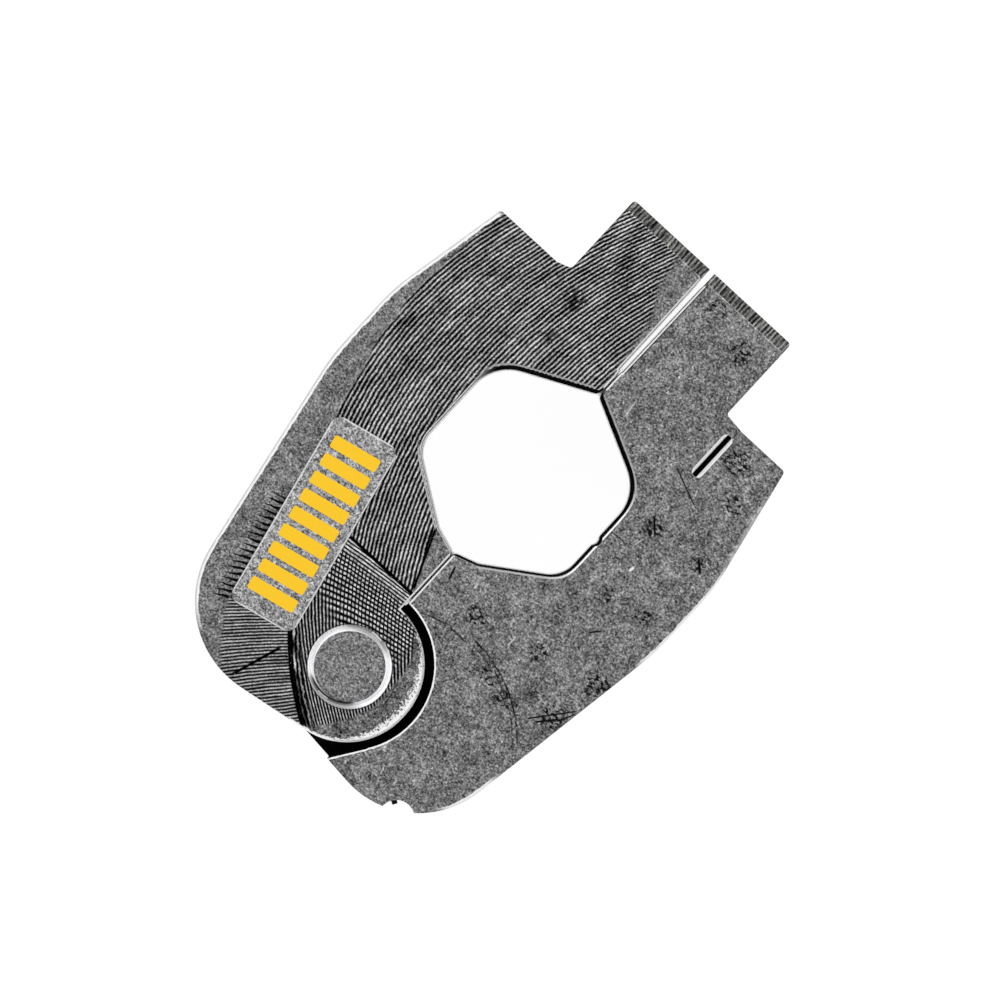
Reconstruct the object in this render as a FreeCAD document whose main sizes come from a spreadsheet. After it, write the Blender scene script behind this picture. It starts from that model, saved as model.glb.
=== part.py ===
"""Two-jaw hinged press ring for pipe fittings, lying on its back face.

Frame: origin on the pipe axis at the back face, +Z along the pipe towards
the front face, +Y from the hinge to the closing lugs, +X towards the half
that carries the hinge tongue.
"""

import FreeCAD
import Part
import os
import re
import Sketcher
from FreeCAD import Vector

# Driving sizes in millimetres and degrees: name, value, meaning
SIZES = [
    ("thickness", 32.0, "back face to front face"),
    ("seam_gap", 0.22, "gap between the closed halves beside the contour"),
    ("seam_shift", 0.18, "pipe axis to the middle of that gap, towards the tongue half"),
    ("lug_top", 41.8, "pipe axis to the ends of the closing lugs"),
    ("lug_step_level", 21.2, "pipe axis to the step in the lug gap"),
    ("lug_step_fork", 0.28, "depth of the step on the fork half's side of the lug gap"),
    ("lug_step_tongue", 0.14, "depth of the step on the tongue half's side of the lug gap"),
    ("lug_inner_fork", 0.35, "mid plane to the fork half's lug at its end"),
    ("lug_inner_tongue", 0.62, "mid plane to the tongue half's lug at its end"),
    ("lug_outer_fork", 16.0, "mid plane to the tong seat of the fork half"),
    ("lug_outer_tongue", 16.45, "mid plane to the tong seat of the tongue half"),
    ("lug_bevel", 1.9, "bevel across the lug ends, front and back"),
    ("shoulder_level", 26.8, "pipe axis to the shoulders"),
    ("shoulder_outer_fork", 29.9, "mid plane to the fork half's shoulder corner"),
    ("shoulder_outer_tongue", 28.9, "mid plane to the tongue half's shoulder corner"),
    ("ramp_run_fork", 2.3, "width of the ramp at the fork half's lug"),
    ("ramp_rise_fork", 0.8, "rise of the ramp at the fork half's lug"),
    ("ramp_run_tongue", 3.6, "width of the ramp at the tongue half's lug"),
    ("ramp_rise_tongue", 0.45, "rise of the ramp at the tongue half's lug"),
    ("side_outer_fork", 33.85, "mid plane to the fork half's widest part"),
    ("side_outer_tongue", 33.1, "mid plane to the tongue half's widest part"),
    ("side_upper_fork", 7.0, "pipe axis up to the upper bend of the fork half's side"),
    ("side_upper_tongue", 6.5, "pipe axis up to the upper bend of the tongue half's side"),
    ("side_lower", 6.9, "pipe axis down to the lower bend of each side"),
    ("side_bend_radius", 30.0, "rounding of the bends of the sides"),
    ("heel_outer_fork", 24.9, "mid plane to the fork half's unrounded heel corner"),
    ("heel_drop_fork", 55.98, "pipe axis down to the fork half's unrounded heel corner"),
    ("heel_outer_tongue", 25.6, "mid plane to the tongue half's unrounded heel corner"),
    ("heel_drop_tongue", 54.45, "pipe axis down to the tongue half's unrounded heel corner"),
    ("heel_radius_fork", 15.7, "rounding of the fork half's heel"),
    ("heel_radius_tongue", 14.7, "rounding of the tongue half's heel"),
    ("corner_radius", 0.6, "rounding of the lug and shoulder corners"),
    ("edge_chamfer", 0.35, "chamfer of outline and seam, front and back"),
    ("contour_across", 30.6, "across the upright flats of the press contour"),
    ("contour_reach", 15.2, "pipe axis to the sloping flats"),
    ("upper_slope", 26.0, "slope of the two upper flats"),
    ("lower_slope", 34.0, "slope of the two lower flats"),
    ("upper_corner_radius", 7.0, "rounding between upright and upper flats"),
    ("lower_corner_radius", 5.0, "rounding between upright and lower flats"),
    ("lip_width", 4.3, "half width of the flatter stretch at the lower seam"),
    ("lip_slope", 18.0, "slope of the flatter stretch at the lower seam"),
    ("upper_lip_radius", 1.2, "rounding of the lips at the upper seam"),
    ("lower_lip_radius", 0.7, "rounding of the lips at the lower seam"),
    ("bead_radius", 18.2, "pipe axis to the floor of the bead groove"),
    ("bead_mouth", 9.0, "width of the bead groove at the flats"),
    ("bead_floor", 5.4, "width of the floor of the bead groove"),
    ("hinge_drop", 39.8, "pipe axis down to the hinge axis"),
    ("knuckle_radius", 11.95, "hinge axis to the bottom lines, and the tongue's rounding"),
    ("ear_offset", 0.4, "what the ears' rounding lacks of that, except at the bottom"),
    ("tongue_thickness", 12.0, "thickness of the tongue"),
    ("tongue_side_gap", 0.2, "gap on each side of the tongue in the fork"),
    ("tongue_round_gap", 0.5, "gap between the tongue and the fork's root"),
    ("ear_round_gap", 1.1, "least gap between the ears and the tongue half"),
    ("stop_turn", 52.0, "turn at which the tongue meets the fork's root"),
    ("flank_top_x", 10.8, "hinge axis out to the top of the relief flank"),
    ("flank_top_drop", 7.5, "hinge axis down to the top of the relief flank"),
    ("flank_end_x", 7.3, "hinge axis out to the flank's end at the bottom"),
    ("flank_end_drop", 12.7, "hinge axis down to the flank's end"),
    ("pin_diameter", 12.0, "hinge pin"),
    ("pin_chamfer", 0.65, "chamfer of the pin's ends"),
    ("pin_front_proud", 0.3, "pin above the front face"),
    ("pin_back_recess", 0.3, "pin below the back face"),
    ("pin_running_gap", 0.05, "gap all round between pin and tongue bore"),
    ("pin_hole_chamfer", 0.3, "chamfer of the pin holes in the ears"),
    ("boss_width", 11.2, "raised plain boss, across"),
    ("boss_length", 32.6, "raised plain boss, along"),
    ("boss_height", 0.4, "raised plain boss above the front face"),
    ("boss_corner_radius", 1.7, "rounding of the boss's corners"),
    ("boss_rim_chamfer", 0.15, "chamfer of the boss's rim"),
    ("boss_centre_x", 18.4, "mid plane to the centre of the boss"),
    ("boss_centre_drop", 27.65, "pipe axis down to the centre of the boss"),
    ("boss_turn", 12.3, "lean of the boss"),
    ("mark_centre_x", 19.05, "mid plane to the centre of the slot mark"),
    ("mark_centre_y", 21.05, "pipe axis up to the centre of the slot mark"),
    ("mark_width", 0.8, "floor width of the slot mark"),
    ("mark_length", 7.2, "floor length of the slot mark, round ends included"),
    ("mark_depth", 0.9, "depth of the slot mark"),
    ("mark_chamfer", 0.45, "bevel round the slot mark"),
    ("notch_centre_x", 21.2, "mid plane to the centre of the heel notch"),
    ("notch_centre_drop", 52.1, "pipe axis down to the centre of the heel notch"),
    ("notch_radius", 2.8, "radius of the heel notch"),
    ("nick_level", 0.3, "pipe axis down to the nick in the contour"),
    ("nick_radius", 1.25, "radius of the nick in the contour"),
    ("nick_depth", 0.4, "depth of the nick in the contour"),
    ("ball_diameter", 4.0, "brake ball"),
    ("ball_gap", 0.05, "gap between the brake ball and the pin"),
    ("ball_bore_gap", 0.1, "gap all round between ball and bore"),
    ("screw_diameter", 5.0, "grub screw behind the brake spring"),
    ("screw_length", 5.0, "grub screw length"),
    ("screw_recess", 1.2, "grub screw below the bottom of the heel notch"),
    ("screw_chamfer", 0.5, "chamfer of the grub screw's ends"),
    ("socket_across", 2.5, "hexagon socket of the grub screw, across flats"),
    ("socket_depth", 2.4, "depth of the hexagon socket"),
    ("spring_outer", 3.8, "outer diameter of the brake spring"),
    ("spring_wire_width", 0.8, "flat wire of the brake spring, across"),
    ("spring_wire_height", 0.5, "flat wire of the brake spring, along"),
    ("spring_turns", 3.5, "turns of the brake spring"),
    ("spring_end_gap", 0.1, "gap at each end of the brake spring"),
]

ALIAS = re.compile(r"[a-z][a-z_]+")
NAMES = {name for name, value, meaning in SIZES}
NEAR = 0.01


def make_sheet(doc):
    """Write the driving sizes into a spreadsheet with one alias each."""
    sheet = doc.addObject("Spreadsheet::Sheet", "Sizes")
    for row, (name, value, meaning) in enumerate(SIZES, 1):
        sheet.set(f"A{row}", name)
        sheet.set(f"B{row}", str(value))
        sheet.set(f"C{row}", meaning)
        sheet.setAlias(f"B{row}", name)
    doc.recompute()
    return sheet


def bound(text):
    """Turn the size names in a formula into references to the sheet."""
    return ALIAS.sub(lambda found: "Sizes." + found[0] if found[0] in NAMES else found[0], text)


def value(body, text):
    """Work out a formula of size names as a plain number."""
    result = body.evalExpression(bound(text))
    return float(getattr(result, "Value", result))


def bind(feature, **formulas):
    """Bind properties of a feature to formulas of size names."""
    for name, text in formulas.items():
        feature.setExpression(name, bound(text))


def new_body(doc, label):
    """Start one rigid piece."""
    body = doc.addObject("PartDesign::Body", label)
    body.Label = label
    return body


def new_sketch(body, name, plane, level="0"):
    """Start a sketch on a plane of the piece, raised by level along its normal."""
    support = next(f for f in body.Origin.OriginFeatures if f.Role == plane)
    sketch = body.newObject("Sketcher::SketchObject", name)
    sketch.AttachmentSupport = [(support, "")]
    sketch.MapMode = "FlatFace"
    sketch.setExpression("AttachmentOffset.Base.z", bound(level))
    return sketch


def hold(sketch, kind, text, number, *places):
    """Add a dimension to a sketch and bind it to a formula."""
    index = sketch.addConstraint(Sketcher.Constraint(kind, *places, number))
    name = f"size_{index}"
    sketch.renameConstraint(index, name)
    sketch.setExpression("Constraints." + name, bound(text))


def polygon(body, name, corners, plane="XY_Plane", level="0"):
    """Draw a closed outline of straight lines through corners given as formulas."""
    sketch = new_sketch(body, name, plane, level)
    add_polygon(body, sketch, corners)
    return sketch


def add_polygon(body, sketch, corners):
    """Add a closed outline of straight lines to a sketch."""
    points = [Vector(value(body, x), value(body, y), 0) for x, y in corners]
    first = sketch.GeometryCount
    count = len(points)
    for i in range(count):
        sketch.addGeometry(Part.LineSegment(points[i], points[(i + 1) % count]), False)
    for i in range(count):
        after = first + (i + 1) % count
        sketch.addConstraint(Sketcher.Constraint("Coincident", first + i, 2, after, 1))
    for i, (x, y) in enumerate(corners):
        hold(sketch, "DistanceX", x, points[i].x, -1, 1, first + i, 1)
        hold(sketch, "DistanceY", y, points[i].y, -1, 1, first + i, 1)


def circle(body, name, x, y, radius, level="0"):
    """Draw a circle parallel to the faces, with its place and radius as formulas."""
    sketch = new_sketch(body, name, "XY_Plane", level)
    centre = Vector(value(body, x), value(body, y), 0)
    size = value(body, radius)
    sketch.addGeometry(Part.Circle(centre, Vector(0, 0, 1), size), False)
    hold(sketch, "DistanceX", x, centre.x, -1, 1, 0, 3)
    hold(sketch, "DistanceY", y, centre.y, -1, 1, 0, 3)
    hold(sketch, "Radius", radius, size, 0)
    return sketch


def slot(body, name, x, y, width, length, level):
    """Draw a slot along Y with round ends."""
    sketch = new_sketch(body, name, "XY_Plane", level)
    across = value(body, x)
    along = value(body, y)
    radius = value(body, width) / 2
    reach = value(body, length) / 2 - radius
    ends = [Vector(across, along + reach, 0), Vector(across, along - reach, 0)]
    for end, side in zip(ends, (1, -1)):
        left = end - Vector(radius, 0, 0) * side
        right = end + Vector(radius, 0, 0) * side
        sketch.addGeometry(Part.Arc(right, end + Vector(0, radius, 0) * side, left), False)
    for side in (1, -1):
        offset = Vector(radius, 0, 0) * side
        sketch.addGeometry(Part.LineSegment(ends[0] + offset, ends[1] + offset), False)
    join = [(0, 1, 2, 1), (0, 2, 3, 1), (1, 1, 3, 2), (1, 2, 2, 2)]
    for curve, curve_end, line, line_end in join:
        sketch.addConstraint(Sketcher.Constraint("Tangent", curve, curve_end, line, line_end))
    for end, sign in zip((0, 1), ("+", "-")):
        hold(sketch, "DistanceX", x, across, -1, 1, end, 3)
        text = f"{y} {sign} ({length} - {width}) / 2"
        hold(sketch, "DistanceY", text, ends[end].y, -1, 1, end, 3)
    hold(sketch, "Radius", f"{width} / 2", radius, 0)
    return sketch


def pad(body, name, profile, length):
    """Raise a sketch into a solid."""
    feature = body.newObject("PartDesign::Pad", name)
    feature.Profile = profile
    bind(feature, Length=length)
    body.Document.recompute()
    return feature


def pocket(body, name, profile, length=None):
    """Cut a sketch downwards, by a length or right through."""
    feature = body.newObject("PartDesign::Pocket", name)
    feature.Profile = profile
    if length is None:
        feature.Type = "ThroughAll"
    else:
        bind(feature, Length=length)
    body.Document.recompute()
    return feature


def dress(body, kind, name, edges, size):
    """Round or chamfer named edges of the piece's last feature."""
    base = body.Tip
    if not edges:
        raise ValueError(f"{name} found no edges")
    feature = body.newObject("PartDesign::" + kind, name)
    feature.Base = (base, edges)
    bind(feature, **{"Radius" if kind == "Fillet" else "Size": size})
    body.Document.recompute()
    if feature.Shape.isNull():
        raise RuntimeError(f"{name} failed on {edges}")
    return feature


def upright_edges(body, places):
    """Name the full-height edges that stand at the given places."""
    found = []
    wanted = [(value(body, x), value(body, y)) for x, y in places]
    for number, edge in enumerate(body.Tip.Shape.Edges, 1):
        box = edge.BoundBox
        if box.XLength > NEAR or box.YLength > NEAR:
            continue
        if any(abs(box.XMin - x) < NEAR and abs(box.YMin - y) < NEAR for x, y in wanted):
            found.append(f"Edge{number}")
    return found


def face_edges(body, chosen, levels):
    """Name the edges that lie at the given levels and pass a test on their middle."""
    found = []
    heights = [value(body, level) for level in levels]
    for number, edge in enumerate(body.Tip.Shape.Edges, 1):
        box = edge.BoundBox
        if box.ZLength > NEAR or not any(abs(box.ZMin - z) < NEAR for z in heights):
            continue
        middle = edge.valueAt((edge.FirstParameter + edge.LastParameter) / 2)
        if chosen(middle):
            found.append(f"Edge{number}")
    return found


def upper_flat(out):
    """Height of a half's upper flat at a distance out from the pipe axis."""
    return f"(contour_reach - {out} * sin(upper_slope)) / cos(upper_slope)"


def lower_flat(out):
    """Height of a half's lower flat at a distance out from the pipe axis."""
    return f"-(contour_reach - {out} * sin(lower_slope)) / cos(lower_slope)"


def lip_flat(out):
    """Height of the flatter stretch at a half's lower seam at a distance out."""
    return f"({lower_flat('lip_width')} - (lip_width - {out}) * tan(lip_slope))"


def contour_corners(side):
    """Corners of a half's share of the press contour, carried on past both seams."""
    half = "contour_across / 2"
    past = "(-lip_width)"
    heights = [
        (past, upper_flat(past)),
        (half, upper_flat(half)),
        (half, lower_flat(half)),
        ("lip_width", lower_flat("lip_width")),
        (past, lip_flat(past)),
    ]
    return [(f"{side} * {out}", height) for out, height in heights]


def bottom_turn(kind):
    """Direction from the hinge to where a half's bottom line touches its knuckle."""
    fall = f"(heel_drop_{kind} - hinge_drop)"
    out = f"heel_outer_{kind}"
    return f"(atan2({fall}; {out}) + acos(knuckle_radius / sqrt({out} ^ 2 + {fall} ^ 2)))"


def half_body(doc, label, side, kind):
    """Blank of one half with its rounded outline and broken face edges."""
    body = new_body(doc, label)
    seam = f"(seam_shift + {side} * seam_gap / 2)"
    lug = f"{side} * lug_outer_{kind}"
    shoulder = (f"{side} * shoulder_outer_{kind}", "shoulder_level")
    root = (lug, f"shoulder_level + ramp_rise_{kind}")
    ramp = (f"{side} * (lug_outer_{kind} + ramp_run_{kind})", "shoulder_level")
    lug_corner = (lug, "lug_top")
    width = f"{side} * side_outer_{kind}"
    bends = [(width, f"side_upper_{kind}"), (width, "-side_lower")]
    heel = (f"{side} * heel_outer_{kind}", f"-heel_drop_{kind}")
    turn = bottom_turn(kind)
    touch = (
        f"{side} * knuckle_radius * cos({turn})",
        f"-hinge_drop - knuckle_radius * sin({turn})",
    )
    outline = [
        (seam, "-hinge_drop"),
        (seam, "lug_step_level"),
        (f"{seam} + {side} * lug_step_{kind}", "lug_step_level"),
        (f"{side} * lug_inner_{kind}", "lug_top"),
        lug_corner, root, ramp, shoulder, *bends, heel, touch,
    ]
    pad(body, label + "_blank", polygon(body, label + "_outline", outline), "thickness")
    if kind == "fork":
        for name, drop in (("upper_ears", "hinge_drop"), ("lower_ears", "(hinge_drop + ear_offset)")):
            disc = circle(body, name + "_disc", "0", f"-{drop}", "knuckle_radius - ear_offset")
            pad(body, name, disc, "thickness")
    dress(body, "Fillet", label + "_side", upright_edges(body, bends), "side_bend_radius")
    dress(body, "Fillet", label + "_heel", upright_edges(body, [heel]), f"heel_radius_{kind}")
    corners = upright_edges(body, [lug_corner, root, shoulder])
    dress(body, "Fillet", label + "_corners", corners, "corner_radius")
    rims = face_edges(body, lambda middle: True, ["0", "thickness"])
    dress(body, "Chamfer", label + "_edge", rims, "edge_chamfer")
    return body


def press_contour(body, side):
    """Cut the contour's flats, its rounded corners, its lips, nick and bead groove."""
    label = body.Label
    corners = contour_corners(side)
    pocket(body, label + "_contour", polygon(body, label + "_flats", corners, level="thickness"))
    upper = upright_edges(body, [corners[1]])
    dress(body, "Fillet", label + "_upper_corner", upper, "upper_corner_radius")
    lower = upright_edges(body, [corners[2]])
    dress(body, "Fillet", label + "_lower_corner", lower, "lower_corner_radius")
    out = f"({side} * seam_shift + seam_gap / 2)"
    top = (f"{side} * {out}", upper_flat(out))
    low = (f"{side} * {out}", lip_flat(out))
    dress(body, "Fillet", label + "_upper_lip", upright_edges(body, [top]), "upper_lip_radius")
    dress(body, "Fillet", label + "_lower_lip", upright_edges(body, [low]), "lower_lip_radius")
    middle = "thickness / 2"
    inner = "contour_reach / 2"
    profile = [
        (inner, f"{middle} - bead_mouth / 2"),
        ("contour_reach", f"{middle} - bead_mouth / 2"),
        ("bead_radius", f"{middle} - bead_floor / 2"),
        ("bead_radius", f"{middle} + bead_floor / 2"),
        ("contour_reach", f"{middle} + bead_mouth / 2"),
        (inner, f"{middle} + bead_mouth / 2"),
    ]
    sketch = polygon(body, label + "_bead_profile", profile, plane="XZ_Plane")
    groove = body.newObject("PartDesign::Groove", label + "_bead")
    groove.Profile = sketch
    groove.ReferenceAxis = (sketch, ["V_Axis"])
    groove.Angle = 360
    body.Document.recompute()


def bevel_lugs(body):
    """Bevel the end of the closing lug, front and back."""
    sketch = new_sketch(body, body.Label + "_bevel_profile", "YZ_Plane")
    for face, out in (("thickness", "+"), ("0", "-")):
        inward = "-" if out == "+" else "+"
        add_polygon(body, sketch, [
            ("lug_top - 2 * lug_bevel", f"{face} {out} lug_bevel"),
            ("lug_top + lug_bevel", f"{face} {inward} 2 * lug_bevel"),
            ("lug_top + lug_bevel", f"{face} {out} lug_bevel"),
        ])
    bevel = body.newObject("PartDesign::Pocket", body.Label + "_bevel")
    bevel.Profile = sketch
    bevel.SideType = "Symmetric"
    bind(bevel, Length="4 * lug_outer_tongue")
    body.Document.recompute()


def from_hinge(body, place):
    """Distance of a place from the hinge axis."""
    return Vector(place.x, place.y + value(body, "hinge_drop"), 0).Length


def make_fork_half(doc):
    """Half with the two ears that carry the hinge pin, and the raised boss."""
    body = half_body(doc, "fork_half", "-1", "fork")
    press_contour(body, "-1")
    bevel_lugs(body)

    slot_top = "(thickness + tongue_thickness) / 2 + tongue_side_gap"
    slot_width = "tongue_thickness + 2 * tongue_side_gap"
    root = "(knuckle_radius + tongue_round_gap)"
    round_root = circle(body, "fork_root_disc", "0", "-hinge_drop", root, slot_top)
    pocket(body, "fork_root", round_root, slot_width)
    turn = f"({bottom_turn('tongue')} + stop_turn * 1 deg)"
    reach = "heel_outer_fork"
    stop_start = (f"{root} * cos({turn})", f"-hinge_drop - {root} * sin({turn})")
    stop_end = (
        f"{stop_start[0]} + {reach} * sin({turn})",
        f"{stop_start[1]} + {reach} * cos({turn})",
    )
    stop = [stop_start, stop_end, (root, stop_end[1]), ("0", "-hinge_drop")]
    pocket(body, "fork_stop", polygon(body, "fork_stop_face", stop, level=slot_top), slot_width)

    hole = circle(body, "fork_pin_circle", "0", "-hinge_drop", "pin_diameter / 2", "thickness")
    pocket(body, "fork_pin_hole", hole)
    faces = ["0", "thickness"]

    def is_hole(place):
        return abs(from_hinge(body, place) - value(body, "pin_diameter / 2")) < NEAR

    dress(body, "Chamfer", "fork_pin_edge", face_edges(body, is_hole, faces), "pin_hole_chamfer")
    raise_boss(body)
    return body


def raise_boss(body):
    """Raise the plain rounded boss on the front face."""
    corners = []
    for across, along in ((1, 1), (-1, 1), (-1, -1), (1, -1)):
        out = f"{across} * boss_width / 2"
        up = f"{along} * boss_length / 2"
        x = f"-boss_centre_x + {out} * cos(boss_turn) - {up} * sin(boss_turn)"
        y = f"-boss_centre_drop + {out} * sin(boss_turn) + {up} * cos(boss_turn)"
        corners.append((x, y))
    pad(body, "boss", polygon(body, "boss_outline", corners, level="thickness"), "boss_height")
    dress(body, "Fillet", "boss_corners", upright_edges(body, corners), "boss_corner_radius")
    rim = face_edges(body, lambda middle: True, ["thickness + boss_height"])
    dress(body, "Chamfer", "boss_rim", rim, "boss_rim_chamfer")


def make_tongue_half(doc):
    """Half whose tongue turns on the hinge pin, with the brake bore."""
    body = half_body(doc, "tongue_half", "1", "tongue")
    press_contour(body, "1")
    bevel_lugs(body)
    clear = "(knuckle_radius + ear_round_gap)"
    tongue_top = "(thickness + tongue_thickness) / 2"
    tongue_base = "(thickness - tongue_thickness) / 2"
    start = ("flank_top_x", "-hinge_drop - flank_top_drop")
    run = ("(flank_end_x - flank_top_x)", "(flank_end_drop - flank_top_drop)")
    end = (f"flank_top_x + 2 * {run[0]}", f"-hinge_drop - flank_top_drop - 2 * {run[1]}")
    relief = [("0", "-hinge_drop"), start, end, ("-knuckle_radius", end[1])]
    for name, level, depth in (
        ("front", "thickness", f"thickness - {tongue_top}"),
        ("back", tongue_base, tongue_base),
    ):
        disc = circle(body, name + "_relief_disc", "0", "-hinge_drop", clear, level)
        pocket(body, name + "_relief", disc, depth)
        flank = polygon(body, name + "_flank", relief, level=level)
        pocket(body, name + "_flank_relief", flank, depth)
    knuckle = circle(body, "tongue_disc", "0", "-hinge_drop", "knuckle_radius", tongue_base)
    pad(body, "tongue", knuckle, "tongue_thickness")
    bore = circle(body, "tongue_bore_circle", "0", "-hinge_drop",
                  "pin_diameter / 2 + pin_running_gap", "thickness")
    pocket(body, "tongue_bore", bore)
    notch = circle(body, "heel_notch_circle", "notch_centre_x", "-notch_centre_drop",
                   "notch_radius", "thickness")
    pocket(body, "heel_notch", notch)
    nick = circle(body, "nick_circle", "contour_across / 2 + nick_depth - nick_radius",
                  "-nick_level", "nick_radius", "thickness")
    pocket(body, "nick", nick)

    bore_brake(body)
    sink_mark(body)
    return body


def brake_place(distance):
    """Placement on the brake's axis, which runs from the hinge to the heel notch."""
    turn = "-atan2(notch_centre_drop - hinge_drop; notch_centre_x)"
    x = f"{distance} * cos({turn})"
    y = f"-hinge_drop + {distance} * sin({turn})"
    return f"placement(vector({x}; {y}; thickness / 2); rotation({turn}; 90; 0))"


NOTCH_FLOOR = "(sqrt(notch_centre_x ^ 2 + (notch_centre_drop - hinge_drop) ^ 2) - notch_radius)"
SCREW_END = f"({NOTCH_FLOOR} - screw_recess - screw_length)"
BALL_CENTRE = "(pin_diameter / 2 + ball_gap + ball_diameter / 2)"


def bore_brake(body):
    """Drill the bore for ball and spring, and the wider one for the grub screw."""
    bores = (
        ("ball_bore", "ball_diameter / 2 + ball_bore_gap", "pin_diameter / 2", SCREW_END),
        ("screw_bore", "screw_diameter / 2", SCREW_END, NOTCH_FLOOR + " + notch_radius"),
    )
    support = next(f for f in body.Origin.OriginFeatures if f.Role == "XY_Plane")
    for name, radius, begin, finish in bores:
        drill = body.newObject("PartDesign::SubtractiveCylinder", name)
        drill.AttachmentSupport = [(support, "")]
        drill.MapMode = "FlatFace"
        bind(drill, Radius=radius, Height=f"{finish} - {begin}")
        drill.setExpression("AttachmentOffset", bound(brake_place(begin)))
        body.Document.recompute()


def sink_mark(body):
    """Sink the short slot mark into the front face and bevel its rim."""
    outline = slot(body, "mark_slot", "mark_centre_x", "mark_centre_y",
                   "mark_width", "mark_length", "thickness")
    pocket(body, "mark", outline, "mark_depth")
    reach = value(body, "mark_length / 2") + NEAR
    centre = Vector(value(body, "mark_centre_x"), value(body, "mark_centre_y"), 0)

    def is_rim(place):
        return (Vector(place.x, place.y, 0) - centre).Length < reach

    dress(body, "Chamfer", "mark_rim", face_edges(body, is_rim, ["thickness"]), "mark_chamfer")


def make_hinge_pin(doc):
    """Plain pin pressed into both ears."""
    body = new_body(doc, "hinge_pin")
    section = circle(body, "pin_section", "0", "-hinge_drop", "pin_diameter / 2", "pin_back_recess")
    pad(body, "pin", section, "thickness + pin_front_proud - pin_back_recess")
    ends = face_edges(body, lambda middle: True, ["pin_back_recess", "thickness + pin_front_proud"])
    dress(body, "Chamfer", "pin_ends", ends, "pin_chamfer")
    return body


def make_brake_ball(doc):
    """Ball that the spring presses on the hinge pin."""
    ball = doc.addObject("Part::Sphere", "brake_ball")
    ball.Label = "brake_ball"
    bind(ball, Radius="ball_diameter / 2")
    ball.setExpression("Placement", bound(brake_place(BALL_CENTRE)))
    return ball


def make_brake_spring(doc):
    """Compression spring of flat wire between the ball and the grub screw."""
    body = new_body(doc, "brake_spring")
    half = "spring_wire_height / 2"
    inner = "(spring_outer / 2 - spring_wire_width)"
    seat = f"sqrt((ball_diameter / 2) ^ 2 - {inner} ^ 2)"
    start = f"({BALL_CENTRE} + {seat} + {half} + spring_end_gap)"
    rise = f"{SCREW_END} - {half} - spring_end_gap - {start}"
    section = [
        (inner, f"-{half}"),
        ("spring_outer / 2", f"-{half}"),
        ("spring_outer / 2", half),
        (inner, half),
    ]
    profile = polygon(body, "wire_section", section, plane="XZ_Plane")
    coil = body.newObject("PartDesign::AdditiveHelix", "coil")
    coil.Profile = profile
    coil.ReferenceAxis = (profile, ["V_Axis"])
    coil.Mode = "height-turns-angle"
    bind(coil, Height=rise, Turns="spring_turns")
    doc.recompute()
    body.setExpression("Placement", bound(brake_place(start)))
    return body


def make_brake_screw(doc):
    """Grub screw with a hexagon socket that closes the brake bore."""
    body = new_body(doc, "brake_screw")
    pad(body, "screw", circle(body, "screw_section", "0", "0", "screw_diameter / 2"), "screw_length")
    ends = face_edges(body, lambda middle: True, ["0", "screw_length"])
    dress(body, "Chamfer", "screw_ends", ends, "screw_chamfer")
    corner = "socket_across / 2 / cos(30)"
    corners = [(f"{corner} * cos({turn})", f"{corner} * sin({turn})") for turn in range(0, 360, 60)]
    socket = polygon(body, "socket_outline", corners, level="screw_length")
    pocket(body, "socket", socket, "socket_depth")
    body.setExpression("Placement", bound(brake_place(SCREW_END)))
    return body


def check(doc, parts):
    """Stop if any feature failed or any piece has no sound solid."""
    for item in doc.Objects:
        if {"Invalid", "Error"} & set(item.State):
            raise RuntimeError(f"{item.Name} failed: {item.State}")
    for part in parts:
        if part.Shape.isNull() or not part.Shape.isValid():
            raise RuntimeError(f"{part.Label} has no sound shape")


def main():
    """Build the ring and write one file for each piece."""
    doc = FreeCAD.newDocument("press_ring")
    make_sheet(doc)
    parts = [
        make_fork_half(doc),
        make_tongue_half(doc),
        make_hinge_pin(doc),
        make_brake_ball(doc),
        make_brake_spring(doc),
        make_brake_screw(doc),
    ]
    doc.recompute()
    check(doc, parts)
    os.makedirs("parts", exist_ok=True)
    for part in parts:
        part.Shape.exportStep(f"parts/{part.Label}.step")
        box = part.Shape.BoundBox
        print(part.Label, round(part.Shape.Volume, 2), len(part.Shape.Solids), box)


main()
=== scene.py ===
"""Steel finishes, brake tip, paint bars and studio stage for a two-jaw press ring.

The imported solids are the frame. Lengths inside the finishes are in
millimetres of the frame: the pipe axis is at x = y = 0, the front face at
z = 32, the hinge at y = -39.8, and the fork half lies on the -X side.
A tone runs from 0 for black to 1 for white, as a screen shows it.
"""

import bmesh
import bpy
import math
from bpy.props import FloatProperty, FloatVectorProperty, IntProperty, PointerProperty
from mathutils import Matrix, Vector


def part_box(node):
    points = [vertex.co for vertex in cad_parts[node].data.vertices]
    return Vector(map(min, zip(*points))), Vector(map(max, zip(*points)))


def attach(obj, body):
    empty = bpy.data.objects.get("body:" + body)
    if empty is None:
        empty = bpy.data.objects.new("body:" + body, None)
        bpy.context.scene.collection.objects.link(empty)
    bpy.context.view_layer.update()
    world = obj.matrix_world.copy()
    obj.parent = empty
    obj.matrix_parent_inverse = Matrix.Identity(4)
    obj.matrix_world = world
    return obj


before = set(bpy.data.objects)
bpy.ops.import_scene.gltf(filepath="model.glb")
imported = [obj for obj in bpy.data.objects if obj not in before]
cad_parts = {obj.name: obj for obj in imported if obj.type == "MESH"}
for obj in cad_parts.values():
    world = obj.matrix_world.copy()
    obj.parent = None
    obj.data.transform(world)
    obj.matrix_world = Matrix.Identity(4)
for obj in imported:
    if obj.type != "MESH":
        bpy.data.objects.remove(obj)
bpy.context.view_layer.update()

bl_info = {
    "name": "Press Ring Finishes",
    "version": (1, 0, 0),
    "blender": (4, 5, 0),
    "location": "View3D > Sidebar > Press Ring",
    "description": "Milled and blasted steel, paint bars and a plain studio for a press ring",
    "category": "Object",
}

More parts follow.
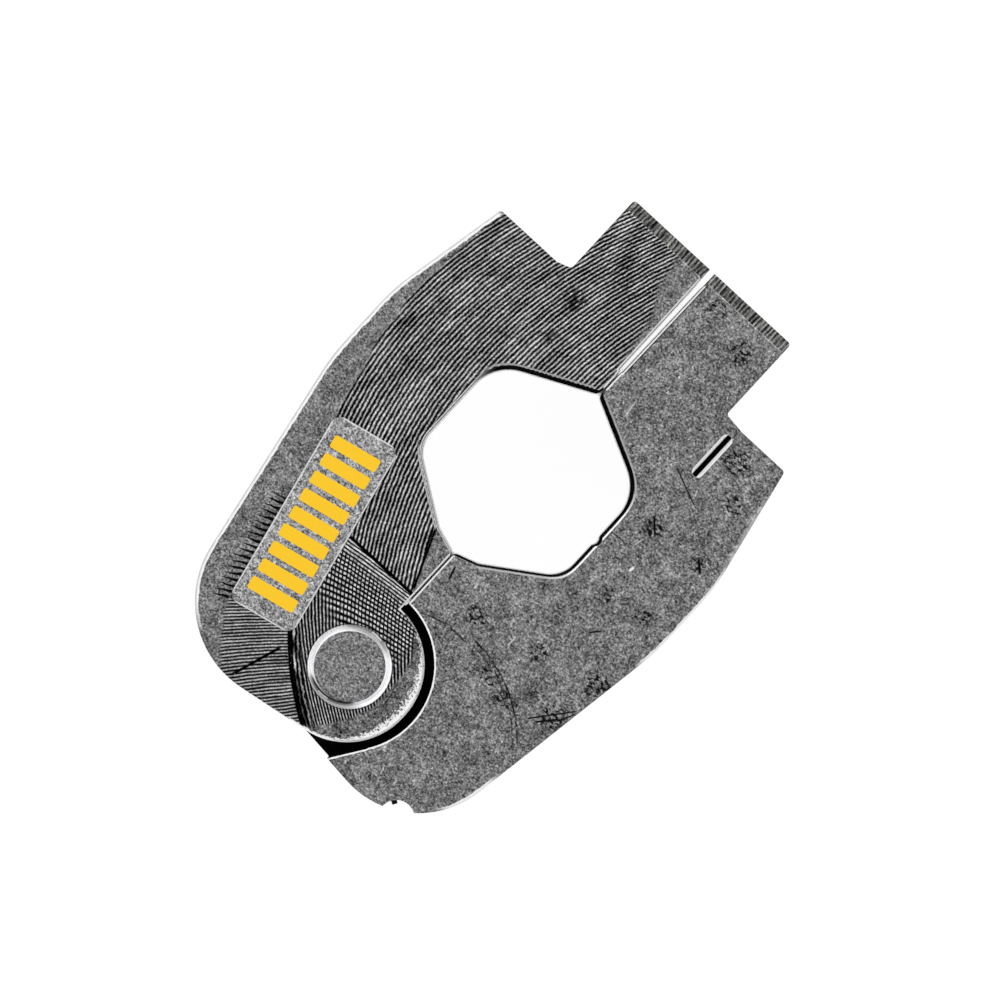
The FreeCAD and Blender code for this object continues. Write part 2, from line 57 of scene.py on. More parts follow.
MM = 0.001
WHITE = (1.0, 1.0, 1.0, 1.0)

# Places on the ring, in millimetres, and directions in degrees from +X.
PIPE_AXIS = (0.0, 0.0)
HINGE = (0.0, -39.8)
# Middle of the painted highlight ring round the pin, set off from the hinge.
PIN_RING = (0.34, -39.97)
FRONT = 32.0
MIDDLE = 16.0
BOSS_CENTRE = (-18.4, -27.65)
BOSS_TURN = 12.3
BOSS_HALF = (5.6, 16.3)
SEAM = 0.18
LUG_GAP = 21.2
KNUCKLE = 11.95
RELIEF = 13.05
RELIEF_FLANK = (-33.9, (10.8, -47.3))
LUG_BEVEL = 39.84
# Slot mark, drawn in paint as lit flanks round a shaded core.
SLOT_MARK = (19.15, 21.05)
SLOT_HALF = 3.2
SLOT_CORE = 19.12

# Flats of each half's outer side as (reach, direction), and its heel as (x, y, radius).
FORK_FLATS = ((34.57, 168.7), (33.85, 180.0), (34.54, 190.33))
TONGUE_FLATS = ((33.73, 11.69), (33.1, 0.0), (33.77, -8.96))
FORK_HEEL = (-12.22, -38.0, 15.7)
TONGUE_HEEL = (13.25, -38.4, 14.7)
FLAT_BLEND = 0.88

# Press contour: its reach and its bead groove, then the reach and slant of its flats and
# the rounding between them.
CONTOUR_REACH = 20.5
BEAD_HALF = 6.5
CONTOUR_SIDE = 15.3
CONTOUR_SLANT = 15.2
UPPER_SLANT = 26.0
LOWER_SLANT = 34.0
UPPER_ROUND = 6.4
LOWER_ROUND = 3.5

# Families of tool lines: shares of x, y, x * x, x * y and y * y in the distance across them,
# then the centres of two round families.
MILLED_SWEEP = (0.947, 0.1663, 0.0, 0.00286, -0.00737)
STEEP_SWEEP = (0.903, -0.2428, -0.00064, 0.00367, -0.01384)
ROWS_SWEEP = (0.231, 2.934, 0.00174, 0.01276, 0.03248)
RISING_SWEEP = (-0.76, 1.5965, -0.00082, -0.00028, 0.00942)
ROUND_SWEEP = (24.5, -11.5)
CROSS_SWEEP = (52.0, 40.0)

# Marks on the tongue half: nicks as (start, end, width), pitted patches as (centre, radius)
# and the centres of two scratched arcs.
DARK_NICKS = (
    ((1.75, -17.6), (2.5, -20.2), 0.3), ((16.2, 16.2), (22.4, 13.6), 0.18),
    ((23.4, -11.6), (25.0, -9.8), 0.25), ((18.6, 8.6), (21.2, 6.0), 0.3),
    ((18.4, 7.6), (19.8, 6.6), 0.25), ((9.0, 13.6), (9.5, 14.4), 0.3),
    ((28.0, 8.4), (30.2, 6.4), 0.4), ((25.4, -27.6), (30.4, -21.4), 0.22),
    ((26.6, -27.2), (29.4, -24.0), 0.28), ((29.0, -25.0), (30.6, -21.8), 0.2),
    ((13.2, -41.0), (14.0, -41.1), 0.25), ((7.0, 17.4), (7.6, 18.2), 0.2),
    ((15.4, 2.2), (18.4, 2.4), 0.15), ((3.9, 26.4), (4.3, 26.0), 0.3),
    ((3.8, 28.3), (4.6, 28.0), 0.18),
)
BRIGHT_NICK = ((21.7, -0.7), (21.9, 0.9), 0.4)
FAINT_NICKS = (
    ((15.8, -21.6), (15.9, -19.4), 0.22), ((6.1, -18.8), (6.2, -17.2), 0.22),
    ((4.9, 19.6), (5.3, 16.4), 0.2), ((19.6, 2.8), (20.0, 4.8), 0.18),
)
PITTED = (
    ((22.5, 22.8), 3.6), ((26.6, 17.6), 2.6), ((4.6, 38.0), 2.4), ((12.0, 35.5), 3.2),
    ((30.0, -16.5), 3.4), ((17.0, -26.4), 2.8), ((20.0, -18.8), 2.6), ((9.5, -21.0), 3.0),
    ((28.2, -24.6), 3.4), ((28.2, -4.0), 2.0), ((20.0, 7.0), 2.6), ((29.0, 7.6), 2.4),
    ((21.5, -5.4), 2.2), ((21.0, -27.6), 2.4),
)
LONG_ARC = (11.1, -45.3)
SECOND_ARC = (8.9, -39.05)

# Grain of milled and ground steel, and of a surface's fine height.
FINE_GRAIN = 0.22
SKIN_GRAIN = 0.4

# Upward parts of a face's normal at which it begins to count as sloped and fully does.
SLOPE = (0.97, 0.93)

# Stage, in metres, and the strength of the floor's white.
KEY_PLACE = (-0.75, 0.55, 1.1)
KEY_SIZE = 0.8
FILL_PLACE = (0.8, -0.45, 0.9)
FILL_SIZE = 0.6
FLOOR_DROP = 0.00003
CONTACT_REACH = 0.0006
PAPER_GLOW = 1.06

# Depth of the paint's ripple and radius of a bar's corners, in metres.
RIPPLE_DEPTH = 4e-6
BAR_CORNER = 0.00035


class PressRingColours(bpy.types.PropertyGroup):
    """Colours of the ring's finishes."""

    steel: FloatVectorProperty(
        name="Steel",
        description="Tint of bare steel where it is brightest",
        subtype="COLOR",
        min=0.0,
        max=1.0,
        default=(0.985, 0.985, 1.0),
    )
    warm_steel: FloatVectorProperty(
        name="Warm steel",
        description="Tint of the bevels across the lug ends",
        subtype="COLOR",
        min=0.0,
        max=1.0,
        default=(1.0, 0.985, 0.95),
    )
    paint: FloatVectorProperty(
        name="Paint",
        description="Enamel of the plain bars on the boss",
        subtype="COLOR",
        min=0.0,
        max=1.0,
        default=(0.97, 0.585, 0.014),
    )
    floor: FloatVectorProperty(
        name="Floor",
        description="Paper under the ring",
        subtype="COLOR",
        min=0.0,
        max=1.0,
        default=(0.9, 0.9, 0.9),
    )


class PressRingSizes(bpy.types.PropertyGroup):
    """Sizes of the ring's finishes and paint bars."""

    tool_pitch: FloatProperty(
        name="Tool pitch",
        description="Spacing of the milling lines on the fork half",
        unit="LENGTH",
        default=0.00062,
    )
    hatch_pitch: FloatProperty(
        name="Hatch pitch",
        description="Spacing of the crossing lines round the pin",
        unit="LENGTH",
        default=0.00058,
    )
    grain: FloatProperty(
        name="Grain",
        description="Size of the grains of the blasted steel",
        unit="LENGTH",
        default=0.0003,
    )
    cut_depth: FloatProperty(
        name="Cut depth",
        description="Depth of the milling lines",
        unit="LENGTH",
        default=0.00003,
    )
    tip_width: FloatProperty(
        name="Tip width",
        description="Diameter of the brake screw's tip",
        unit="LENGTH",
        default=0.0009,
    )
    tip_length: FloatProperty(
        name="Tip length",
        description="Length of the brake screw's tip",
        unit="LENGTH",
        default=0.0041,
    )
    bar_count: IntProperty(
        name="Bars",
        description="Number of painted bars on the boss",
        min=1,
        default=9,
    )
    bar_length: FloatProperty(
        name="Bar length",
        description="Length of a painted bar across the boss",
        unit="LENGTH",
        default=0.0080,
    )
    bar_width: FloatProperty(
        name="Bar width",
        description="Width of a painted bar along the boss",
        unit="LENGTH",
        default=0.0021,
    )
    bar_pitch: FloatProperty(
        name="Bar pitch",
        description="Spacing of the painted bars",
        unit="LENGTH",
        default=0.0031,
    )
    bar_height: FloatProperty(
        name="Bar height",
        description="Thickness of the paint",
        unit="LENGTH",
        default=0.00006,
    )


class PressRingStage(bpy.types.PropertyGroup):
    """Camera, lamps and floor."""

    camera_place: FloatVectorProperty(
        name="Camera place",
        description="Place of the camera above the front face",
        subtype="TRANSLATION",
        unit="LENGTH",
        default=(-0.00007, -0.00576, 1.032),
    )
    camera_turn: FloatProperty(
        name="Camera turn",
        description="Turn of the picture about the pipe axis",
        subtype="ANGLE",
        default=math.radians(42.7),
    )
    lens: FloatProperty(
        name="Lens",
        description="Focal length on a 36 mm sensor, in millimetres",
        default=236.4,
    )
    floor_size: FloatProperty(
        name="Floor size",
        description="Width of the floor",
        unit="LENGTH",
        default=6.0,
    )
    ambient: FloatProperty(
        name="Ambient",
        description="Strength of the even light from all round",
        default=0.62,
    )
    key_power: FloatProperty(
        name="Key power",
        description="Power of the large lamp",
        default=7.5,
    )
    fill_power: FloatProperty(
        name="Fill power",
        description="Power of the small lamp",
        default=2.5,
    )
    shadow_share: FloatProperty(
        name="Shadow share",
        description="Share of the floor's look that comes from the lamps",
        subtype="FACTOR",
        min=0.0,
        max=1.0,
        default=0.08,
    )


def shown(group):
    """Give a group of the scene's settings."""
    return getattr(bpy.context.scene, "press_ring_" + group)


class Wire:
    """Socket of a node board that takes part in sums."""

    def __init__(self, board, socket):
        self.board = board
        self.socket = socket

    def maths(self, operation, *values):
        """Add a Math node on these values."""
        return self.board.node("ShaderNodeMath", {"operation": operation}, dict(enumerate(values)))

    def __add__(self, other):
        return self.maths("ADD", self, other)

    def __radd__(self, other):
        return self.maths("ADD", other, self)

    def __sub__(self, other):
        return self.maths("SUBTRACT", self, other)

    def __rsub__(self, other):
        return self.maths("SUBTRACT", other, self)

    def __mul__(self, other):
        return self.maths("MULTIPLY", self, other)

    def __rmul__(self, other):
        return self.maths("MULTIPLY", other, self)

    def __truediv__(self, other):
        return self.maths("DIVIDE", self, other)

    def __pow__(self, other):
        return self.maths("POWER", self, other)

    def __abs__(self):
        return self.maths("ABSOLUTE", self)

    def least(self, other):
        """Smaller of two values."""
        return self.maths("MINIMUM", self, other)

    def most(self, other):
        """Larger of two values."""
        return self.maths("MAXIMUM", self, other)

    def melt(self, other, width):
        """Smaller of two values, with the change rounded over a width."""
        return self.maths("SMOOTH_MIN", self, other, width)

    def bounce(self, length):
        """Rise and fall evenly between 0 and a length."""
        return self.maths("PINGPONG", self, length)


class Board:
    """Node tree of a finish or of the sky."""

    def __init__(self, owner):
        owner.use_nodes = True
        self.tree = owner.node_tree
        self.tree.nodes.clear()

    def node(self, kind, settings, sockets, output=0):
        """Add a node, then fill its settings and sockets."""
        made = self.tree.nodes.new(kind)
        for name, setting in settings.items():
            if name == "stops":
                self.set_stops(made.color_ramp, setting)
            else:
                setattr(made, name, setting)
        for key, value in sockets.items():
            if isinstance(value, Wire):
                self.tree.links.new(value.socket, made.inputs[key])
            else:
                made.inputs[key].default_value = value
        return Wire(self, made.outputs[output]) if made.outputs else None

    def set_stops(self, ramp, stops):
        """Give a ramp its (position, grey) stops."""
        while len(ramp.elements) > 1:
            ramp.elements.remove(ramp.elements[-1])
        for index, (position, grey) in enumerate(stops):
            element = ramp.elements[0] if index == 0 else ramp.elements.new(position)
            element.position = position
            element.color = (grey, grey, grey, 1.0)

    def seen(self):
        """1 for what the camera, a reflection or a clear body shows."""
        ways = ("Is Camera Ray", "Is Glossy Ray", "Is Transmission Ray")
        return strongest(self.node("ShaderNodeLightPath", {}, {}, way) for way in ways)


class Finish(Board):
    """Procedural material in millimetres of the frame."""

    def __init__(self, name):
        self.material = bpy.data.materials.new(name)
        super().__init__(self.material)
        metres = self.node("ShaderNodeTexCoord", {}, {}, "Object")
        self.place = self.vector("SCALE", {0: metres, "Scale": 1 / MM})
        self.turns = {0.0: self.place}
        self.x, self.y, self.z = (self.part(self.place, axis) for axis in "XYZ")
        self.up = self.part(self.node("ShaderNodeTexCoord", {}, {}, "Normal"), "Z")

    def vector(self, operation, sockets, output=0):
        """Add a Vector Math node on these values."""
        return self.node("ShaderNodeVectorMath", {"operation": operation}, sockets, output)

    def part(self, wire, axis):
        """X, Y or Z part of a vector."""
        return self.node("ShaderNodeSeparateXYZ", {}, {0: wire}, axis)

    def rise(self, wire, start, end):
        """Go smoothly from 0 at start to 1 at end."""
        sockets = {0: wire, 1: start, 2: end, 3: 0.0, 4: 1.0}
        return self.node("ShaderNodeMapRange", {"interpolation_type": "SMOOTHSTEP"}, sockets)

    def band(self, wire, centre, width, soft=0.1):
        """1 inside a band of this width about a centre, with soft sides."""
        return self.rise(abs(wire - centre), width / 2 + soft / 2, width / 2 - soft / 2)

    def traced(self, wire, points):
        """Follow straight runs through (place, value) points."""
        places, values = zip(*points)
        first, low = places[0], min(values)
        reach, span = places[-1] - first, max(values) - low
        stops = [((place - first) / reach, (value - low) / span) for place, value in points]
        share = (wire - first) / reach
        return self.node("ShaderNodeValToRGB", {"stops": stops}, {0: share}) * span + low

    def along(self, direction, origin=PIPE_AXIS):
        """Distance from an origin towards a direction in degrees."""
        turn = math.radians(direction)
        arm = (math.cos(turn), math.sin(turn), 0.0)
        start = arm[0] * origin[0] + arm[1] * origin[1]
        found = self.vector("DOT_PRODUCT", {0: self.place, 1: arm}, "Value")
        return found - start if start else found

    def distance(self, centre):
        """Distance from an upright axis."""
        flat = self.vector("MULTIPLY", {0: self.place, 1: (1.0, 1.0, 0.0)})
        return self.vector("DISTANCE", {0: flat, 1: (*centre, 0.0)}, "Value")

    def turned(self, turn):
        """Place in a pattern turned about the pipe axis, in degrees."""
        if turn not in self.turns:
            sockets = {0: self.place, 2: (0.0, 0.0, math.radians(turn))}
            self.turns[turn] = self.node("ShaderNodeMapping", {"vector_type": "TEXTURE"}, sockets)
        return self.turns[turn]

    def noise(self, size, detail=2.0, stretch=(1.0, 1.0, 1.0), turn=0.0, seed=0.0):
        """Smooth noise of about this grain size, roughly from -1 to 1."""
        start = Matrix.Rotation(-math.radians(turn), 3, "Z") @ Vector((seed, seed, seed))
        shares = [1 / run for run in stretch]
        shift = [-run * share for run, share in zip(start, shares)]
        at = self.vector("MULTIPLY_ADD", {0: self.turned(turn), 1: shares, 2: shift})
        sockets = {"Vector": at, "Scale": 1 / size, "Detail": detail, "Roughness": 0.55}
        return (self.node("ShaderNodeTexNoise", {}, sockets, "Fac") - 0.5) * 4.0

    def grains(self, size, seed=0.0):
        """Random value from -1 to 1 for each small cell."""
        at = self.vector("ADD", {0: self.place, 1: (seed, seed, seed)})
        sockets = {"Vector": at, "Scale": 1 / size}
        random = self.node("ShaderNodeTexVoronoi", {"feature": "F1"}, sockets, "Color")
        return self.part(random, "X") * 2.0 - 1.0

    def scratch(self, start, end, width, soft=0.15):
        """1 along a straight scratch between two places on the front face."""
        run = Vector(end) - Vector(start)
        middle = (Vector(end) + Vector(start)) / 2
        turn = math.degrees(math.atan2(run.y, run.x))
        half = run.length / 2
        lengthwise = self.rise(abs(self.along(turn, middle)), half, half - 4 * soft)
        return lengthwise * self.band(self.along(turn + 90, middle), 0.0, width, soft)

    def blot(self, centre, radius):
        """1 at a centre, fading to 0 at a radius."""
        return self.rise(self.distance(centre), radius, 0.0)

    def tinted(self, tone, tint):
        """Colour of a display tone from 0 to 1 under a tint."""
        grey = tone.most(0.0).least(1.0) ** 2.2
        return self.mixed((0.0, 0.0, 0.0), tint, grey)

    def mixed(self, first, second, share):
        """Mix two colours, given as numbers or as a wire."""
        pair = [given if isinstance(given, Wire) else (*given, 1.0) for given in (first, second)]
        sockets = {0: share, 6: pair[0], 7: pair[1]}
        return self.node("ShaderNodeMix", {"data_type": "RGBA"}, sockets, 2)

    def bump(self, height, depth):
        """Normal over a height whose step from 0 to 1 has this depth in metres."""
        sockets = {"Strength": 1.0, "Distance": depth, "Height": height}
        return self.node("ShaderNodeBump", {}, sockets)

    def steel(self, tone, rough, height, depth, tint, painted_shade=None):
        """Finish off with a steel surface, turned dull and black as painted shade where the shade
        mask is 1.
        """
        metal = between(0.8, 1.0, self.rise(tone, 0.3, 0.1)) - 0.4 * self.rise(tone, 0.8, 0.9)
        normal = self.bump(height, depth)
        bright = {
            "Base Color": self.tinted(tone, tint),
            "Metallic": metal,
            "Roughness": rough.most(0.15).least(1.0),
            "Normal": normal,
        }
        surface = self.node("ShaderNodeBsdfPrincipled", {}, bright)
        if painted_shade is not None:
            # Dull near-black steel that stands in for shade in gaps and on walls.
            lines = self.noise(0.4, 2.0, (18.0, 18.0, 1.0), seed=3)
            dull = {
                "Base Color": self.tinted(0.12 + 0.07 * lines + 0.05 * self.noise(3.0), tint),
                "Roughness": 0.8,
                "Specular IOR Level": 0.0,
                "Normal": normal,
            }
            black = self.node("ShaderNodeBsdfPrincipled", {}, dull)
            surface = self.node("ShaderNodeMixShader", {}, {0: painted_shade, 1: surface, 2: black})
        return self.finished(surface)

    def finished(self, surface):
        """Lead a surface to the output and give the material."""
        self.node("ShaderNodeOutputMaterial", {}, {"Surface": surface})
        return self.material


def between(low, high, mask):
    """Go from one value to another as a mask goes from 0 to 1."""
    return low + (high - low) * mask


def strongest(masks):
    """Largest of several masks."""
    first, *others = masks
    for other in others:
        first = first.most(other)
    return first


def blasted(finish, seed):
    """Tone of mottled, blasted steel with flecks and pits."""
    size = shown("sizes").grain / MM
    fine = finish.grains(size * 0.7, seed)
    middle = finish.noise(size * 1.15, 1.0, seed=seed)
    mottle = finish.noise(size * 4, seed=seed + 5)
    broad = finish.noise(size * 12, seed=seed + 7)
    pits = finish.noise(size * 2.4, 3.0, seed=seed + 11) - 0.5 * broad
    flecks = finish.noise(size * 1.4, 1.0, (1.0, 3.0, 1.0), 20.0, seed + 17)
    nicks = finish.noise(size * 1.4, 1.0, (3.0, 1.0, 1.0), 35.0, seed + 23)
    grain = 0.13 * fine + 0.16 * middle + 0.09 * mottle + 0.06 * broad
    bright = 0.32 * finish.rise(flecks, 0.8, 1.3) + 0.26 * finish.rise(nicks, 0.9, 1.4)
    return 0.415 + grain + bright - 0.30 * finish.rise(pits, 0.8, 1.5)


def waves(distance, pitch, wobble):
    """Rise and fall between 0 and 1 across a family of tool lines."""
    return (distance + wobble).bounce(pitch / 2) * (2 / pitch)


def boss_places(finish):
    """Distances from the boss's centre, across and up along it."""
    across = finish.along(BOSS_TURN, BOSS_CENTRE)
    return across, finish.along(BOSS_TURN + 90, BOSS_CENTRE)


def swept(finish, across, up, bend, twist, sag):
    """Distance across a family of curved tool lines."""
    x, y = finish.x, finish.y
    return x * (x * bend + y * twist + across) + y * (y * sag + up)


def milled(finish):
    """Tone and height of the curved tool lines on the fork half."""
    pitch = shown("sizes").tool_pitch / MM
    lay = -12.0
    x, y = finish.x, finish.y
    wobble = 0.09 * finish.noise(3.0) + 0.05 * finish.noise(0.5, 1.0, seed=3)
    line = waves(swept(finish, *MILLED_SWEEP), pitch, wobble)
    streak = finish.noise(0.75, 2.0, (1.0, 7.0, 1.0), lay, 5)
    patch = finish.noise(5.0, 3.0, (1.0, 1.8, 1.0), lay, 9)
    bead = finish.noise(0.3, 1.0, (1.0, 1.6, 1.0), lay, 11)
    by_lug = finish.rise(y, 14.0, 22.0) * finish.rise(x, -20.0, -14.0)
    deep = finish.rise(y, -3.0, -12.0).most(by_lug)
    cross = waves(finish.distance(CROSS_SWEEP), pitch * 1.15, wobble) - 0.5
    cross = cross * finish.rise(y, 27.0, 33.0) * finish.rise(x, -6.0, -9.0)
    lines = (0.86 + 0.12 * deep + 0.24 * bead) * (line - 0.5) + 0.22 * cross
    grain = 0.16 * streak + 0.11 * patch + 0.12 * finish.grains(FINE_GRAIN, 2.0)
    return 0.31 - 0.035 * deep + lines + grain, line


def hatched(finish):
    """Tone of two crossing families of tool lines round the pin."""
    pitch = shown("sizes").hatch_pitch / MM
    x, y = finish.x, finish.y
    wobble = 0.07 * finish.noise(2.0, seed=31)
    steep = waves(swept(finish, *STEEP_SWEEP), pitch, wobble)
    rows = waves(swept(finish, *ROWS_SWEEP), pitch, wobble)
    crossed = finish.rise(y + 0.35 * x, -39.5, -37.0) * finish.rise(x, 6.5, 4.0)
    open_steep = between(finish.rise(steep, 0.1, 0.6), 1.0, finish.rise(y, -28.2, -26.6))
    cells = open_steep * finish.rise(rows, 0.15, 0.75)
    lines = finish.rise(steep, 0.3, 0.95)
    peak = 0.70 + 0.2 * finish.noise(0.8, seed=37) + 0.16 * finish.noise(0.3, 1.0, seed=39)
    grain = 0.07 * finish.grains(FINE_GRAIN, 4.0)
    return 0.03 + peak * between(0.9 * lines, cells, crossed) + grain


def rising_lines(finish):
    """Tone of the nearly straight tool lines below the boss."""
    pitch = 0.81 * shown("sizes").tool_pitch / MM
    wobble = 0.06 * finish.noise(2.0, seed=41)
    line = waves(swept(finish, *RISING_SWEEP), pitch, wobble)
    streak = finish.noise(0.7, 2.0, (6.0, 1.0, 1.0), 45.0, 43)
    bead = finish.noise(0.3, 1.0, seed=45)
    lines = (0.86 + 0.24 * bead) * (line - 0.5)
    return 0.31 + lines + 0.14 * streak + 0.10 * finish.grains(FINE_GRAIN, 6.0)


def margin_of(finish, flats, heel, heel_top):
    """Distance in from a half's outer side, and from its heel below a height."""
    side = None
    for reach, direction in flats:
        inward = reach - finish.along(direction)
        side = inward if side is None else side.melt(inward, FLAT_BLEND)
    in_heel = heel[2] - finish.distance(heel[:2])
    return between(side, in_heel, finish.rise(finish.y, heel_top + 0.1, heel_top - 0.1))


def contour_rim(finish, side):
    """1 along the rim of the press contour, on the tongue's side (1) or the fork's (-1)."""
    outward = side * finish.x
    upper = CONTOUR_SLANT - finish.along(90.0 - UPPER_SLANT * side)
    lower = CONTOUR_SLANT - finish.along(-90.0 + LOWER_SLANT * side)
    inward = (CONTOUR_SIDE - outward).melt(upper, UPPER_ROUND).melt(lower, LOWER_ROUND)
    clear_of_lips = finish.rise(outward, 4.0, 4.6).most(finish.rise(finish.y, 0.0, 1.0))
    clear_of_seam = finish.rise(outward, 0.9, 1.3)
    return finish.band(inward, -0.2, 0.26, 0.12) * clear_of_lips * clear_of_seam


def sloped(finish):
    """1 on bevels and walls, 0 on level faces that look up."""
    return finish.rise(finish.up, *SLOPE)


def seam_lips(finish):
    """1 above and below the press contour, where the halves meet."""
    return finish.rise(finish.y, 17.2, 17.7).most(finish.rise(finish.y, -15.6, -16.4))


def lug_edge_highlight(finish):
    """Painted highlight on the front face along the lug's bevel."""
    return 0.16 * finish.band(finish.y, LUG_BEVEL, 0.14, 0.1) * (1.0 - sloped(finish))


def openings(finish):
    """Masks of the press contour, of its bead groove and of the seam below the lugs' gap."""
    radius, depth = finish.distance(PIPE_AXIS), abs(finish.z - MIDDLE)
    contour = finish.rise(radius, CONTOUR_REACH + 0.1, CONTOUR_REACH - 0.1)
    bead = contour * finish.rise(depth, BEAD_HALF + 0.5, BEAD_HALF - 0.5)
    seam = finish.rise(abs(finish.x - SEAM), 0.35, 0.25)
    return contour, bead, seam * finish.rise(finish.y, LUG_GAP + 0.1, LUG_GAP - 0.1)


def pin_ring(finish):
    """Distance from the middle of the pin's painted highlight ring, and 1 on the ring's two sides,
    where that highlight is brightest.
    """
    to_side = finish.rise(abs(finish.along(100.0, HINGE)), 6.3, 3.5)
    return finish.distance(PIN_RING), to_side


def painted_edge_highlight(finish, tone, seed):
    """Tone of a painted highlight on an edge, with small dark specks."""
    specks = finish.rise(finish.noise(0.35, seed=seed), 0.6, 1.2)
    return tone - 0.3 * specks + 0.05 * finish.noise(0.5, seed=seed + 1)


def uncut(finish, ragged):
    """1 where the cutter didn't reach the fork half's front face."""
    x, y = finish.x, finish.y
    cut_edge = finish.traced(y, [
        (-14.0, -27.2), (-8.0, -28.3), (0.0, -30.3), (10.0, -31.2), (27.0, -29.4),
    ])
    outer = finish.rise(x + ragged, cut_edge + 0.3, cut_edge - 0.3)
    lug_edge = finish.traced(y, [
        (17.0, 0.0), (25.0, -1.2), (31.0, -2.2), (34.0, -4.2), (40.0, -5.2),
    ])
    lug = finish.rise(x + 1.5 * ragged, lug_edge - 0.8, lug_edge + 0.8)
    lug = lug * finish.rise(y, 17.0, 20.0)
    beside_boss = finish.along(21.3, (-4.4, -15.0)) + 0.3 * ragged
    corner = finish.rise(beside_boss, -0.2, 0.2) * finish.rise(y, -14.0, -14.6)
    left = finish.rise(boss_places(finish)[0], -5.0, -5.6) * finish.rise(y, -12.0, -13.0)
    return outer.most(lug).most(corner).most(left)


def lined_ear(finish, tone, plain, ragged, swing):
    """Lay the hatching round the pin and the lines below the boss on a tone."""
    x, y = finish.x, finish.y
    ring_edge = finish.traced(y, [
        (-51.0, 1.5), (-48.0, 4.3), (-45.0, 6.0), (-42.0, 7.1), (-36.0, 7.2), (-33.0, 6.6),
        (-28.0, 3.2),
    ])
    ring = finish.rise(x + 0.5 * ragged, ring_edge - 0.3, ring_edge + 0.3)
    near_pin = between(hatched(finish), plain - 0.04, ring)
    below_step = finish.rise(y, -25.1, -25.3)
    across, upward = boss_places(finish)
    right = finish.rise(across, 5.2, 5.6)
    under = finish.rise(upward, -16.0, -16.4)
    tone = between(tone, near_pin, below_step * right.most(under))
    lines_end = finish.traced(y, [(-53.0, -14.5), (-50.0, -17.0), (-47.0, -19.3), (-43.0, -21.0)])
    lined = finish.rise(x + ragged, lines_end - 0.4, lines_end + 0.4)
    low_tone = between(plain, rising_lines(finish), lined)
    return between(tone, low_tone, under * finish.rise(swing, 46.3, 46.7))


def boss_strokes(finish, ragged):
    """1 on the cutter's short dark strokes beside the boss."""
    across, upward = boss_places(finish)
    slant = upward - (0.12 - 0.012 * upward) * across + 0.12 * finish.noise(1.5, 1.0, seed=61)
    width = finish.traced(across + 0.6 * ragged, [(-8.4, 0.0), (-7.6, 0.08), (-5.6, 0.25)])
    teeth = finish.rise(slant.bounce(0.45) - width, 0.04, -0.04)
    reach = finish.rise(across + 0.6 * ragged, -8.3, -7.9) * finish.rise(across, -5.4, -5.7)
    return teeth * reach * finish.rise(upward, -17.5, -16.5) * finish.rise(upward, 1.8, 0.8)


def fork_scars(finish, tone, ragged, swing):
    """Lay the torn zone, the dark steps and the smudges of the fork half on a tone."""
    x, y = finish.x, finish.y
    step = finish.band(y, -25.35, 0.5, 0.15) * finish.rise(x, -13.2, -13.0)
    torn_swing = swing + 0.14 * finish.noise(0.7, seed=63)
    zone = finish.rise(swing, 44.0, 44.9) * finish.rise(swing, 46.6, 46.4)
    zone = zone * finish.rise(x, 3.4, 1.0) * finish.rise(y, -40.4, -42.0)
    streak = finish.noise(1.1, 2.0, (3.0, 1.0, 1.0), -35.0, 65)
    ridges = finish.rise(torn_swing.bounce(0.31) + 0.05 * streak, 0.13, 0.24)
    tone = between(tone, 0.03 + (0.42 + 0.45 * streak) * ridges, zone)
    grooves = finish.band(torn_swing, 46.25, 0.4, 0.2) * zone
    ledge = finish.scratch((-4.5, -15.2), (-0.4, -25.0), 0.35, 0.2)
    seam_line = finish.scratch((-9.3, -44.6), (-12.2, -53.4), 0.4, 0.2)
    smudge = finish.blot((-12.3, 24.5), 2.6).most(0.7 * finish.blot((-11.2, 17.5), 2.2))
    smudge = smudge * finish.rise(finish.noise(0.8, seed=67), -0.6, 0.4)
    dark = step.most(grooves).most(ledge).most(seam_line)
    dark = dark.most(0.9 * boss_strokes(finish, ragged)).most(0.8 * smudge)
    return between(tone, 0.03, dark)


def ear_highlights_and_shadow(finish, tone, ragged):
    """Lay a speckled painted highlight on the ear's edge and on the collar round the pin, and a
    thin painted shadow ring round the collar, on a tone.
    """
    x, y = finish.x, finish.y
    radius = finish.distance(HINGE)
    inner = finish.traced(y, [
        (-51.0, 11.4), (-48.0, 10.9), (-46.0, 10.3), (-43.0, 9.5), (-38.0, 9.35),
        (-34.0, 9.8), (-31.5, 10.6), (-29.0, 11.1), (-28.0, 11.3),
    ])
    bottom = 51.23 - finish.along(-80.71)
    share = (radius - inner) / (11.75 - inner) * finish.rise(x, 0.5, 2.0)
    share = share.most(0.6 * finish.rise(bottom, 0.5, 0.1) * finish.rise(x, -5.0, 0.0))
    specks = finish.rise(finish.noise(0.35, seed=73) + 1.2 * share, 0.1, 0.5)
    torn = 0.4 * finish.noise(0.5, 3.0, seed=71) + 0.15 * ragged
    tone = between(tone, 0.8 + 0.2 * share, specks * finish.rise(share + torn, 0.15, 0.4))

    # Painted highlight on the collar, brightest on the ring's two sides; painted shadow in a thin
    # ring round it.
    from_ring, to_side = pin_ring(finish)
    collar = finish.rise(from_ring, 6.5, 6.35) * finish.rise(radius, 5.9, 6.0)
    tone = between(tone, between(0.62, 1.0, to_side), collar)
    around = finish.band(from_ring, 6.55, 0.14, 0.1) * (1.0 - collar)
    return between(tone, 0.12, 0.7 * around)


